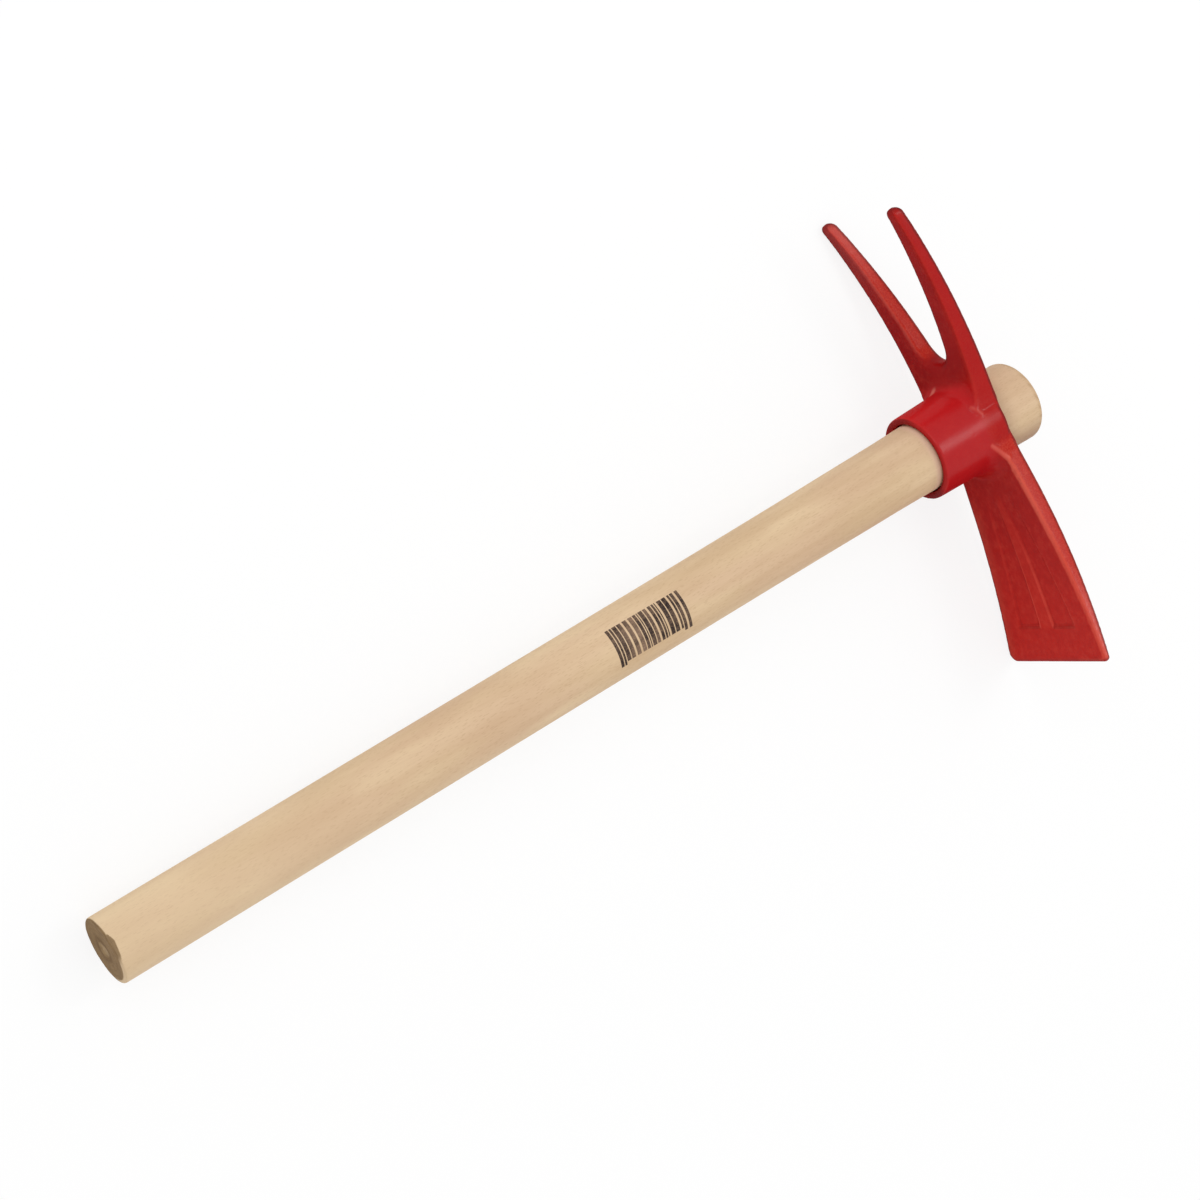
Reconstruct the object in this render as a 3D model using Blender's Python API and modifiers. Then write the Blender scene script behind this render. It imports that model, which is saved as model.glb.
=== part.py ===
"""Fork hoe: a one-piece steel head, hoe blade on one side and two tines on the other,
slipped over a turned wooden handle until it jams on the handle's flared end.

Metres, +Z up. The handle's axis is +X and starts at the centre of the butt. The tines
point along +Y and the blade along -Y, so the tool lies on its side.
"""
import math

import bmesh
import bpy
from mathutils import Matrix

# Handle
HANDLE_LENGTH = 0.503
BUTT_RADIUS = 0.0147
NECK_RADIUS = 0.0166            # where the handle goes into the collar
KNOB_RADIUS = 0.0194            # the flared end, too wide to pass the eye
KNOB_STAND_OUT = 0.0233         # from the back of the head to the end of the knob
BUTT_EDGE = 0.0012
KNOB_EDGE = 0.0038
GRIP_WIDENING = 0.0006          # even taper along the whole grip
NECK_FLARE_POWER = 8            # the rest of the widening comes just before the collar

# Eye and collar
COLLAR_DEPTH = 0.0416           # from the collar's mouth to the back of the head
MOUTH_WALL = 0.0034
MOUTH_EDGE = 0.0010
MOUTH_GAP = 0.0008              # all round the handle, at the mouth
BACK_WALL = 0.0028              # round the back of the eye
BACK_SET = 0.0008               # the wall ends this far before the plate's back
BACK_EDGE = 0.0018
FIT_CLEARANCE = 0.0003          # between the flared end and the back of the eye
EYE_CHAMFER = 0.0005
COLLAR_FILLET = 0.0070          # the foot, where the collar runs out into the plate
FOOT_SINK = 0.0001              # the foot starts this far inside the collar's surface
FOOT_INSET = 0.0001             # and its flanks lie this far inside the plate's

# Plate that carries the eye
EYE_THICKNESS = 0.0105
NECK_HALF_WIDTH = 0.0200        # the plate just above and below the eye
EDGE_ROUND = 0.0013

# Blade
BLADE_REACH = 0.1206            # from the handle's axis to the cutting edge
BLADE_EDGE_HALF = 0.0365
BLADE_FLARE_START = 0.0150
BLADE_SIDE_BOW = 0.05           # outward bow of the sides, as a share of the flare
BLADE_CORNER_NEAR = 0.0016
BLADE_CORNER_FAR = 0.0045       # the corner on the -Z side is rounded off more
BLADE_BEND_START = 0.0310
BLADE_DROOP = 0.0112            # how far the back of the edge curls towards the grip
BLADE_THICKNESS = 0.0080        # at the start of the bend
BLADE_THINNING_POWER = 1.5
CUTTING_THICKNESS = 0.0026

# Recessed panels on the blade's inner face, with a rib between them
PANEL_DEPTH = 0.0009
PANEL_START = 0.0290
PANEL_END = 0.1032
PANEL_FADE = 0.0200             # from the top of a panel to its full depth
PANEL_LEAD = 0.0003             # how far above the face the fade begins
PANEL_ROUND = 0.0006
RIB_HALF_TOP = 0.0024
RIB_HALF_BOTTOM = 0.0050
PANEL_MARGIN_TOP = 0.0145
PANEL_MARGIN_BOTTOM = 0.0127

# Tines
TINE_REACH = 0.1117             # from the handle's axis to the tips
TINE_TIP_SPREAD = 0.0266        # half the distance between the centres of the tips
TINE_TIP_WIDTH = 0.0058
TINE_TIP_THICKNESS = 0.0058
TINE_TIP_THINNING = 0.8         # how far the tips are rounded off through their thickness
TINE_SPLAY_START = 0.0140
TINE_SIDE_BOW = 0.18            # outward bow of the outer sides, as a share of the splay
TINE_BEND_START = 0.0080
TINE_DROOP = 0.0147
TINE_THINNING_START = 0.0200
TINE_THINNING_POWER = 1.8
CROTCH_REACH = 0.0326
CROTCH_RADIUS = 0.0113
CROTCH_ROUND = 0.0040           # the edges are rounded off more in the crotch

# Fineness of the faceting
TURNING_STEPS = 64
ARC_STEPS = 5
FOOT_STEPS = 9
EDGE_STEPS = 3
EDGE_RINGS = 2                  # extra rings of faces round each edge of the plate
FLARE_STEP = 0.0052
GRIP_STEP = 0.028
SLICE = 0.0038
SNAP = 0.0004                   # a slice this close to an outline point passes through it
WELD = 0.00001                  # points closer than this are one
FLAT_ANGLE = 0.001              # faces that turn less than this are one
SHARP_ANGLE = math.radians(35)
CUT_PAST = 0.0050               # how far a cutter runs past the face that it cuts

EYE_BACK_X = HANDLE_LENGTH - KNOB_STAND_OUT
MOUTH_X = EYE_BACK_X - COLLAR_DEPTH
PLATE_FRONT_X = EYE_BACK_X - EYE_THICKNESS
FLARE_END_X = HANDLE_LENGTH - KNOB_EDGE


def arc(centre, radius, start, end, steps=ARC_STEPS):
    """Points on a circle arc, from the start angle to the end angle."""
    angles = [start + (end - start) * i / steps for i in range(steps + 1)]
    return [(centre[0] + radius * math.cos(a), centre[1] + radius * math.sin(a)) for a in angles]


def bowed(share, bow):
    """From 0 to 1 along a side that bows out by this much."""
    return share + bow * share * (1 - share)


def stations(start, end, step):
    """Evenly spaced values from start up to, but not including, end."""
    count = max(2, round(abs(end - start) / step))
    return [start + (end - start) * i / count for i in range(count)]


def make_material(name, colour, roughness, metallic=0.0):
    material = bpy.data.materials.new(name)
    material.use_nodes = True
    shader = material.node_tree.nodes["Principled BSDF"]
    shader.inputs["Base Color"].default_value = (*colour, 1.0)
    shader.inputs["Roughness"].default_value = roughness
    shader.inputs["Metallic"].default_value = metallic
    return material


# Turned shapes: profiles are (place along the axis, radius), from the far end to the butt

def turned(name, profile, collection):
    """An object turned about the handle's axis from its profile."""
    mesh = bpy.data.meshes.new(name)
    points = [(radius, 0.0, place) for place, radius in profile]
    mesh.from_pydata(points, [(i, i + 1) for i in range(len(points) - 1)], [])
    turned_object = bpy.data.objects.new(name, mesh)
    collection.objects.link(turned_object)
    screw = turned_object.modifiers.new("Turning", "SCREW")
    screw.steps = screw.render_steps = TURNING_STEPS
    screw.use_merge_vertices = True
    screw.merge_threshold = WELD
    screw.use_smooth_shade = True
    turned_object.rotation_euler = (0.0, math.pi / 2, 0.0)
    return turned_object


def grip_radius(place):
    share = place / MOUTH_X
    flare = NECK_RADIUS - BUTT_RADIUS - GRIP_WIDENING
    return BUTT_RADIUS + GRIP_WIDENING * share + flare * share ** NECK_FLARE_POWER


def flare_radius(place):
    """Inside the eye the handle widens slowly, then faster, up to the knob."""
    share = (place - MOUTH_X) / (FLARE_END_X - MOUTH_X)
    return NECK_RADIUS + (KNOB_RADIUS - NECK_RADIUS) * (1 - math.cos(math.pi * share)) / 2


def handle_profile():
    knob_centre = (FLARE_END_X, KNOB_RADIUS - KNOB_EDGE)
    butt_centre = (BUTT_EDGE, grip_radius(BUTT_EDGE) - BUTT_EDGE)
    profile = [(HANDLE_LENGTH, 0.0)]
    profile += arc(knob_centre, KNOB_EDGE, 0.0, math.pi / 2)
    profile += [(x, flare_radius(x)) for x in stations(FLARE_END_X, MOUTH_X, FLARE_STEP)[1:]]
    profile += [(x, grip_radius(x)) for x in stations(MOUTH_X, BUTT_EDGE, GRIP_STEP)]
    profile += arc(butt_centre, BUTT_EDGE, math.pi / 2, math.pi, EDGE_STEPS)
    profile += [(0.0, 0.0)]
    return profile


BORE_MOUTH_RADIUS = NECK_RADIUS + MOUTH_GAP
BORE_BACK_RADIUS = flare_radius(EYE_BACK_X) + FIT_CLEARANCE


def collar_radius(place):
    """Outside of the collar, which widens with the eye."""
    mouth = BORE_MOUTH_RADIUS + MOUTH_WALL
    back = BORE_BACK_RADIUS + BACK_WALL
    return mouth + (back - mouth) * (place - MOUTH_X) / COLLAR_DEPTH


def collar_profile():
    """The collar as a plain cone from the back of the eye to its mouth, both edges rounded."""
    back_x = EYE_BACK_X - BACK_SET
    back_centre = (back_x - BACK_EDGE, collar_radius(back_x) - BACK_EDGE)
    mouth_centre = (MOUTH_X + MOUTH_EDGE, collar_radius(MOUTH_X) - MOUTH_EDGE)
    profile = [(back_x, 0.0)]
    profile += arc(back_centre, BACK_EDGE, 0.0, math.pi / 2, EDGE_STEPS)
    profile += arc(mouth_centre, MOUTH_EDGE, math.pi / 2, math.pi, EDGE_STEPS)
    profile += [(MOUTH_X, 0.0)]
    return profile


def foot_profile():
    """The hollow curve that leads from the collar out onto the plate."""
    top = PLATE_FRONT_X - COLLAR_FILLET
    centre = (top, collar_radius(top) - FOOT_SINK + COLLAR_FILLET)
    inside_plate = PLATE_FRONT_X + EYE_THICKNESS / 2
    profile = [(inside_plate, 0.0), (inside_plate, centre[1])]
    profile += arc(centre, COLLAR_FILLET, 0.0, -math.pi / 2, FOOT_STEPS)
    profile += [(top, 0.0)]
    return profile


def bore_profile():
    """The tapered eye, eased at both ends and run past both faces."""
    mouth = BORE_MOUTH_RADIUS
    back = BORE_BACK_RADIUS
    return [
        (EYE_BACK_X + CUT_PAST, 0.0),
        (EYE_BACK_X + CUT_PAST, back + EYE_CHAMFER + CUT_PAST),
        (EYE_BACK_X - EYE_CHAMFER, back),
        (MOUTH_X + EYE_CHAMFER, mouth),
        (MOUTH_X - CUT_PAST, mouth + EYE_CHAMFER + CUT_PAST),
        (MOUTH_X - CUT_PAST, 0.0),
    ]


# Side profile of the head: where its back and front faces lie, at each distance along Y

def bend_share(y):
    """From 0 where the plate starts to bend to 1 at the cutting edge or at the tips."""
    if y < 0:
        return max(-y - BLADE_BEND_START, 0.0) / (BLADE_REACH - BLADE_BEND_START)
    return max(y - TINE_BEND_START, 0.0) / (TINE_REACH - TINE_BEND_START)


def back_x(y):
    droop = BLADE_DROOP if y < 0 else TINE_DROOP
    return EYE_BACK_X - droop * bend_share(y) ** 2


def head_thickness(y):
    if -y > BLADE_BEND_START:
        thinning = bend_share(y) ** BLADE_THINNING_POWER
        return BLADE_THICKNESS + (CUTTING_THICKNESS - BLADE_THICKNESS) * thinning
    if y < 0:
        share = 1 + y / BLADE_BEND_START
        return BLADE_THICKNESS + (EYE_THICKNESS - BLADE_THICKNESS) * share ** 2
    left = (TINE_REACH - max(y, TINE_THINNING_START)) / (TINE_REACH - TINE_THINNING_START)
    left = max(left, 0.0) ** TINE_THINNING_POWER
    return TINE_TIP_THICKNESS + (EYE_THICKNESS - TINE_TIP_THICKNESS) * left


def front_x(y):
    return back_x(y) - head_thickness(y)


# Front outline of the head, in Y and Z

def blade_half_width(reach):
    share = max(reach - BLADE_FLARE_START, 0.0) / (BLADE_REACH - BLADE_FLARE_START)
    flare = BLADE_EDGE_HALF - NECK_HALF_WIDTH
    return NECK_HALF_WIDTH + flare * bowed(share, BLADE_SIDE_BOW)


def blade_side(corner):
    """One side of the blade, from the cutting edge up to the handle's axis."""
    rise = blade_half_width(BLADE_REACH) - blade_half_width(BLADE_REACH - corner)
    turn = math.pi / 2 + math.atan(rise / corner)
    top = BLADE_REACH - corner * (1 - math.cos(turn))
    centre = (corner - BLADE_REACH, blade_half_width(top) - corner * math.sin(turn))
    side = arc(centre, corner, math.pi, math.pi - turn)
    side += [(y, blade_half_width(-y)) for y in stations(-top, 0.0, SLICE)[1:]]
    return side


def crotch_centre():
    return CROTCH_REACH + CROTCH_RADIUS, 0.0


def tine_side():
    """One side of the fork, from the handle's axis round the tip and down to the crotch."""
    tip_radius = TINE_TIP_WIDTH / 2
    tip = (TINE_REACH - tip_radius, TINE_TIP_SPREAD)
    length = tip[0] - TINE_SPLAY_START
    spread = tip[1] + tip_radius - NECK_HALF_WIDTH
    splay = math.atan(spread * (1 - TINE_SIDE_BOW) / length)
    tip_round = arc(tip, tip_radius, splay + math.pi / 2, splay - math.pi / 2, 2 * ARC_STEPS)
    side = []
    for y in stations(0.0, tip_round[0][0], SLICE):
        share = max(y - TINE_SPLAY_START, 0.0) / length
        side.append((y, NECK_HALF_WIDTH + spread * bowed(share, TINE_SIDE_BOW)))
    side += tip_round

    crotch = crotch_centre()
    along = tip_round[-1][0] - crotch[0]
    across = tip_round[-1][1]
    lean = math.acos(CROTCH_RADIUS / math.hypot(along, across)) + math.atan2(across, along)
    crotch_round = arc(crotch, CROTCH_RADIUS, lean, math.pi, 2 * ARC_STEPS)
    top, foot = tip_round[-1], crotch_round[0]
    steps = stations(0.0, 1.0, SLICE / (top[0] - foot[0]))[1:]
    side += [(top[0] + (foot[0] - top[0]) * s, top[1] + (foot[1] - top[1]) * s) for s in steps]
    side += crotch_round
    return side


def head_outline():
    near = blade_side(BLADE_CORNER_NEAR) + tine_side()
    far = blade_side(BLADE_CORNER_FAR) + tine_side()[:-1]
    return near + [(y, -z) for y, z in reversed(far)]


def panel_outline(side):
    """One recess of the blade, on the side +1 or -1 of the rib."""
    rib, margin = [], []
    for reach in stations(PANEL_START, PANEL_END, SLICE) + [PANEL_END]:
        share = (reach - PANEL_START) / (PANEL_END - PANEL_START)
        edge = PANEL_MARGIN_TOP + (PANEL_MARGIN_BOTTOM - PANEL_MARGIN_TOP) * share
        rib.append((-reach, side * (RIB_HALF_TOP + (RIB_HALF_BOTTOM - RIB_HALF_TOP) * share)))
        margin.append((-reach, side * (blade_half_width(reach) - edge)))
    return rib + margin[::-1]


# Plates: a flat outline with rounded edges, sliced across and bent to two face curves

def flat_plate(name, outline, thickness, edge_round, outset=0.0):
    """The outline as a closed plate: a mesh with X through its thickness."""
    curve = bpy.data.curves.new(name, "CURVE")
    curve.dimensions = "2D"
    curve.fill_mode = "BOTH"
    curve.extrude = thickness / 2 - edge_round
    curve.bevel_depth = edge_round
    curve.bevel_resolution = EDGE_RINGS
    curve.offset = outset - edge_round
    spline = curve.splines.new("POLY")
    spline.points.add(len(outline) - 1)
    for point, (y, z) in zip(spline.points, outline):
        point.co = (y, z, 0.0, 1.0)
    spline.use_cyclic_u = True
    outline_object = bpy.data.objects.new(name, curve)
    bpy.context.scene.collection.objects.link(outline_object)
    evaluated = outline_object.evaluated_get(bpy.context.evaluated_depsgraph_get())
    mesh = bpy.data.meshes.new_from_object(evaluated)
    bpy.data.objects.remove(outline_object)
    bpy.data.curves.remove(curve)
    turn_to_head = Matrix(((0, 0, 1, 0), (1, 0, 0, 0), (0, 1, 0, 0), (0, 0, 0, 1)))
    mesh.transform(turn_to_head)
    mesh.name = name

    plate = bmesh.new()
    plate.from_mesh(mesh)
    bmesh.ops.remove_doubles(plate, verts=plate.verts, dist=WELD)
    bmesh.ops.recalc_face_normals(plate, faces=plate.faces)
    bmesh.ops.dissolve_limit(plate, angle_limit=FLAT_ANGLE, verts=plate.verts,
                             edges=plate.edges, delimit={"NORMAL"})
    plate.to_mesh(mesh)
    plate.free()
    return mesh


def round_crotch(mesh):
    """Widen the rounding of the flat head's edges round the crotch, most at its foot."""
    centre = crotch_centre()[0]
    for vert in mesh.vertices:
        out = math.hypot(vert.co.y - centre, vert.co.z)
        inset = out - CROTCH_RADIUS
        from_foot = math.atan2(abs(vert.co.z), centre - vert.co.y)
        if inset < EDGE_ROUND + SNAP and from_foot < math.pi / 2:
            grown = EDGE_ROUND + (CROTCH_ROUND - EDGE_ROUND) * math.cos(from_foot) ** 2
            out = (CROTCH_RADIUS + inset * grown / EDGE_ROUND) / out
            depth = EYE_THICKNESS / 2 - abs(vert.co.x)
            vert.co.x = math.copysign(EYE_THICKNESS / 2 - depth * grown / EDGE_ROUND, vert.co.x)
            vert.co.y = centre + (vert.co.y - centre) * out
            vert.co.z *= out


def bend_plate(mesh, thickness, front, back):
    """Slice the flat plate across and lay its two faces on the front and back curves."""
    plate = bmesh.new()
    plate.from_mesh(mesh)
    lowest = min(v.co.y for v in plate.verts)
    highest = max(v.co.y for v in plate.verts)
    for y in stations(lowest, highest, SLICE)[1:]:
        everything = plate.verts[:] + plate.edges[:] + plate.faces[:]
        bmesh.ops.bisect_plane(plate, geom=everything, dist=SNAP, plane_co=(0, y, 0),
                               plane_no=(0, 1, 0))
    for vert in plate.verts:
        share = vert.co.x / thickness + 0.5
        vert.co.x = front(vert.co.y) + (back(vert.co.y) - front(vert.co.y)) * share
    bmesh.ops.triangulate(plate, faces=plate.faces)
    bmesh.ops.recalc_face_normals(plate, faces=plate.faces)
    plate.to_mesh(mesh)
    plate.free()


def as_mesh(source):
    """Replace the object's modifiers with their result, so that its points can be moved."""
    evaluated = source.evaluated_get(bpy.context.evaluated_depsgraph_get())
    mesh = bpy.data.meshes.new_from_object(evaluated)
    mesh.transform(source.matrix_world)
    source.modifiers.clear()
    source.data = mesh
    source.matrix_world = Matrix.Identity(4)


def boolean(target, operation, tool):
    modifier = target.modifiers.new(tool.name, "BOOLEAN")
    modifier.operation = operation
    modifier.object = tool
    modifier.solver = "EXACT"


def round_tips(mesh):
    """Thin the tines over their last stretch, so that the tips are blunt and rounded."""
    radius = TINE_TIP_WIDTH / 2
    for vert in mesh.vertices:
        past = vert.co.y - (TINE_REACH - radius)
        if past > 0:
            middle = (front_x(vert.co.y) + back_x(vert.co.y)) / 2
            fade = math.sqrt(max(1 - TINE_TIP_THINNING * (past / radius) ** 2, 0.0))
            vert.co.x = middle + (vert.co.x - middle) * fade


def make_handle(parts):
    handle = turned("handle", handle_profile(), parts)
    handle.data.materials.append(make_material("beech", (0.70, 0.50, 0.31), 0.55))
    return handle


def make_foot(tools):
    """The collar's foot, laid on the plate's front face and trimmed to its outline."""
    foot = turned("collar_foot", foot_profile(), tools)
    bpy.context.view_layer.update()
    as_mesh(foot)
    top = PLATE_FRONT_X - COLLAR_FILLET
    for vert in foot.data.vertices:
        share = min(max((vert.co.x - top) / COLLAR_FILLET, 0.0), 1.0)
        vert.co.x += (front_x(vert.co.y) - PLATE_FRONT_X) * share ** 2
    trim_length = 2 * COLLAR_DEPTH
    mesh = flat_plate("foot_trim", head_outline(), trim_length, 0.0, -FOOT_INSET)
    bend_plate(mesh, trim_length, lambda y: EYE_BACK_X - trim_length, lambda y: EYE_BACK_X)
    trim = bpy.data.objects.new("foot_trim", mesh)
    tools.objects.link(trim)
    boolean(foot, "INTERSECT", trim)
    return foot


def panel_floor(y):
    """The floor of the panels: it sinks into the blade's face from the top of the panels."""
    share = min(max((-y - PANEL_START) / PANEL_FADE, 0.0), 1.0)
    return front_x(y) - PANEL_LEAD + (PANEL_DEPTH + PANEL_LEAD) * share


def make_head(parts, tools):
    mesh = flat_plate("head", head_outline(), EYE_THICKNESS, EDGE_ROUND)
    round_crotch(mesh)
    bend_plate(mesh, EYE_THICKNESS, front_x, back_x)
    round_tips(mesh)
    head = bpy.data.objects.new("head", mesh)
    parts.objects.link(head)
    boolean(head, "UNION", make_foot(tools))
    boolean(head, "UNION", turned("collar", collar_profile(), tools))
    boolean(head, "DIFFERENCE", turned("eye_bore", bore_profile(), tools))
    for name, side in (("panel_near", 1), ("panel_far", -1)):
        mesh = flat_plate(name, panel_outline(side), CUT_PAST, PANEL_ROUND)
        bend_plate(mesh, CUT_PAST, lambda y: panel_floor(y) - CUT_PAST, panel_floor)
        panel = bpy.data.objects.new(name, mesh)
        tools.objects.link(panel)
        boolean(head, "DIFFERENCE", panel)
    head.data.materials.append(make_material("red_paint", (0.47, 0.012, 0.018), 0.38))
    return head


for old in list(bpy.data.objects):
    bpy.data.objects.remove(old)

parts_collection = bpy.data.collections.new("fork_hoe")
tools_collection = bpy.data.collections.new("cutters")
bpy.context.scene.collection.children.link(parts_collection)
bpy.context.scene.collection.children.link(tools_collection)

root = bpy.data.objects.new("fork_hoe", None)
parts_collection.objects.link(root)
for piece in (make_handle(parts_collection), make_head(parts_collection, tools_collection)):
    piece.parent = root
    piece.data.shade_smooth()
    piece.data.set_sharp_from_angle(angle=SHARP_ANGLE)
for tool in tools_collection.objects:
    tool.hide_render = True
    tool.display_type = "WIRE"
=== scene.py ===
"""Fork hoe lying on a pale floor: a turned beech handle in a red painted steel head."""
import math

import bmesh
import bpy
from mathutils import Matrix, Vector


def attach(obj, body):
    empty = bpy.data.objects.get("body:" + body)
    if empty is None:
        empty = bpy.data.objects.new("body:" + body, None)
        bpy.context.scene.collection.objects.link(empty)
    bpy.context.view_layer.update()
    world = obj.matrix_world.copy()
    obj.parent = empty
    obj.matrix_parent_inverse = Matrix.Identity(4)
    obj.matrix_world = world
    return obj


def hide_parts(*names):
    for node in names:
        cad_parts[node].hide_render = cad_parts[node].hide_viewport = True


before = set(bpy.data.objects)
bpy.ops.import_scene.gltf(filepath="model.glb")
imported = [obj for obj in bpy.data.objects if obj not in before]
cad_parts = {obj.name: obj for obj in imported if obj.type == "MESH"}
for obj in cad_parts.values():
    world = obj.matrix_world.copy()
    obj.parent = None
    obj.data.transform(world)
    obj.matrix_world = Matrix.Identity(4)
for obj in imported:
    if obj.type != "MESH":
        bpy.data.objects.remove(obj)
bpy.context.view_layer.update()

scene = bpy.context.scene
scene.view_settings.view_transform = "Standard"

# Handle: one length of beech, turned and sanded, left without varnish. The far end is
# flared and jams in the eye of the head; the butt is sawn square and only just eased,
# and a splinter is gone from its rim. Places along it are in metres from the butt.
HANDLE_LENGTH = 0.503
BUTT_RADIUS = 0.0147
NECK_RADIUS = 0.0166
KNOB_RADIUS = 0.0194
BUTT_EDGE = 0.0012
KNOB_EDGE = 0.0038
GRIP_WIDENING = 0.0006
NECK_FLARE_POWER = 8
MOUTH_X = 0.4381
ROUND_STEPS = 10
FACE_RINGS = 18
FINE_LENGTH = 0.0060
FINE_STEP = 0.0004
GRIP_STEP = 0.0026


def handle_radius(place):
    """Radius of the handle at a distance from its butt."""
    if place < MOUTH_X:
        share = place / MOUTH_X
        flare = NECK_RADIUS - BUTT_RADIUS - GRIP_WIDENING
        return BUTT_RADIUS + GRIP_WIDENING * share + flare * share ** NECK_FLARE_POWER
    share = (place - MOUTH_X) / (HANDLE_LENGTH - KNOB_EDGE - MOUTH_X)
    return NECK_RADIUS + (KNOB_RADIUS - NECK_RADIUS) * (1 - math.cos(math.pi * share)) / 2


def rounded_end(face, edge, radius, inward):
    """Points of an end from its middle out: the flat face, then the rounded rim."""
    flat = radius - edge
    points = [(face, flat * i / FACE_RINGS) for i in range(FACE_RINGS)]
    for i in range(ROUND_STEPS + 1):
        angle = math.pi / 2 * i / ROUND_STEPS
        points.append((face + inward * edge * (1 - math.cos(angle)),
                       flat + edge * math.sin(angle)))
    return points


def evenly(start, end, step):
    """Places from start to end, about a step apart, without the start itself."""
    count = max(1, round((end - start) / step))
    return [start + (end - start) * i / count for i in range(1, count + 1)]


knob_start = HANDLE_LENGTH - KNOB_EDGE
places = evenly(BUTT_EDGE, FINE_LENGTH, FINE_STEP) + evenly(FINE_LENGTH, knob_start, GRIP_STEP)
turning_line = rounded_end(0.0, BUTT_EDGE, handle_radius(BUTT_EDGE), 1)
turning_line += [(place, handle_radius(place)) for place in places[:-1]]
turning_line += rounded_end(HANDLE_LENGTH, KNOB_EDGE, KNOB_RADIUS, -1)[::-1]


class Socket:
    """A socket of a node tree. Sums written with sockets add the tree's Math nodes."""

    def __init__(self, tree, socket):
        self.tree = tree
        self.socket = socket

    def node(self, kind, settings=None, sockets=None, out=0):
        """Adds a node, its settings first, then the values or links of its sockets."""
        made = self.tree.nodes.new(kind)
        for name, value in (settings or {}).items():
            setattr(made, name, value)
        for name, value in (sockets or {}).items():
            if isinstance(value, Socket):
                self.tree.links.new(value.socket, made.inputs[name])
            else:
                made.inputs[name].default_value = value
        return Socket(self.tree, made.outputs[out])

    def other(self, name):
        """Another output of the same node."""
        return Socket(self.tree, self.socket.node.outputs[name])

    def feed(self, target):
        """Links this socket to an input."""
        self.tree.links.new(self.socket, target)

    def maths(self, operation, *values):
        """A Math node on this value and the ones given."""
        return self.node("ShaderNodeMath", {"operation": operation},
                         dict(enumerate((self,) + values)))

    def reflected(self, operation, value):
        """A Math node on the value given and this one, in that order."""
        return self.node("ShaderNodeMath", {"operation": operation}, {0: value, 1: self})

    def __add__(self, value):
        return self.maths("ADD", value)

    def __radd__(self, value):
        return self.reflected("ADD", value)

    def __sub__(self, value):
        return self.maths("SUBTRACT", value)

    def __rsub__(self, value):
        return self.reflected("SUBTRACT", value)

    def __mul__(self, value):
        return self.maths("MULTIPLY", value)

    def __rmul__(self, value):
        return self.reflected("MULTIPLY", value)

    def __truediv__(self, value):
        return self.maths("DIVIDE", value)

    def __rtruediv__(self, value):
        return self.reflected("DIVIDE", value)

    def size(self):
        """The value without its sign."""
        return self.maths("ABSOLUTE")

    def clamped(self):
        """The value, held between 0 and 1."""
        return self.maths("MINIMUM", 1.0).maths("MAXIMUM", 0.0)

    def ramp(self, start, end):
        """0 up to start, 1 from end on, and a soft step between."""
        return self.node("ShaderNodeMapRange", {"interpolation_type": "SMOOTHSTEP"},
                         {"Value": self, "From Min": start, "From Max": end})

    def split(self):
        """The X, Y and Z of this vector."""
        parts = self.node("ShaderNodeSeparateXYZ", {}, {0: self})
        return parts, parts.other("Y"), parts.other("Z")

    def join(self, x, y, z):
        """A vector of three values."""
        return self.node("ShaderNodeCombineXYZ", {}, {0: x, 1: y, 2: z})

    def vector(self, operation, *values):
        """A Vector Math node on this vector and the ones given."""
        return self.node("ShaderNodeVectorMath", {"operation": operation},
                         dict(enumerate((self,) + values)))

    def measure(self, operation, *values):
        """A number from a Vector Math node, such as a length or a distance."""
        return self.vector(operation, *values).other("Value")

    def scale(self, factor):
        """This vector, as many times as long."""
        return self.node("ShaderNodeVectorMath", {"operation": "SCALE"},
                         {0: self, "Scale": factor})

    def noise(self, stretch, detail=2.0, roughness=0.5):
        """Cloudy noise on this position, with its waves per metre along X, Y and Z."""
        return self.node("ShaderNodeTexNoise", {}, {
            "Vector": self.vector("MULTIPLY", stretch), "Scale": 1.0, "Detail": detail,
            "Roughness": roughness})

    def blend(self, first, second):
        """The first colour where this is 0 and the second where it is 1."""
        return self.node("ShaderNodeMix", {"data_type": "RGBA"},
                         {0: self, 6: first, 7: second}, 2)

    def stored(self, name):
        """A number that the mesh keeps for each of its points, read by a material."""
        return self.node("ShaderNodeAttribute", {"attribute_name": name}, {}, "Fac")

    def relief(self, strength, depth):
        """The surface's direction with this height pressed into it."""
        return self.node("ShaderNodeBump", {}, {"Strength": strength, "Distance": depth,
                                                 "Height": self})

    def store(self, name, value):
        """This mesh, keeping the value for each of its points."""
        return self.node("GeometryNodeStoreNamedAttribute",
                         {"data_type": "FLOAT", "domain": "POINT"},
                         {"Geometry": self, "Name": name, "Value": value})

    def moved(self, **way):
        """This mesh with its points moved, by an Offset or to a Position."""
        return self.node("GeometryNodeSetPosition", {}, {"Geometry": self, **way})

    def shaded(self, smooth):
        """This mesh with its faces shaded smooth or flat."""
        return self.node("GeometryNodeSetShadeSmooth", {}, {"Geometry": self,
                                                            "Shade Smooth": smooth})

    def blurred(self, times):
        """The mean of this vector over each point's neighbours, taken so many times."""
        return self.node("GeometryNodeBlurAttribute", {"data_type": "FLOAT_VECTOR"},
                         {"Value": self, "Iterations": times, "Weight": 1.0})


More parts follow.
